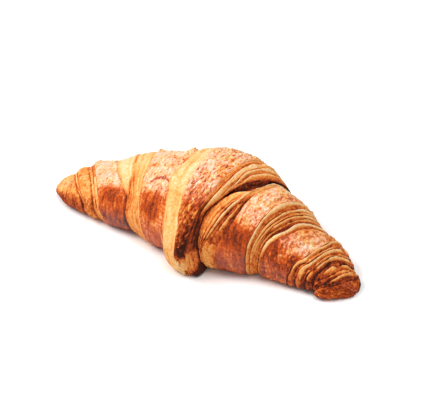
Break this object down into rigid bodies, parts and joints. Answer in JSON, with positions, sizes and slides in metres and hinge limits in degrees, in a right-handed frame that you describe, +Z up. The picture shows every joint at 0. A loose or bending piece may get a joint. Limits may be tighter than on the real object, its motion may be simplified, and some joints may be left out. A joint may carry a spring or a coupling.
{
  "type": "croissant",
  "caption": "Straight laminated croissant, rolled in stepped wraps from a broad middle to two blunt tips, with a flat underside to rest on.",
  "frame": {"origin": "on the flat underside, in the middle of the bounding box", "axes": "+X along the roll from the left tip to the right tip, +Z up; -Y is the front, where the point of the dough triangle comes down"},
  "size_m": [0.1642, 0.0728, 0.0462],
  "materials": {
    "crust": "satin"
  },
  "bodies": {
    "root": {"croissant": "crust"}
  },
  "joints": []
}
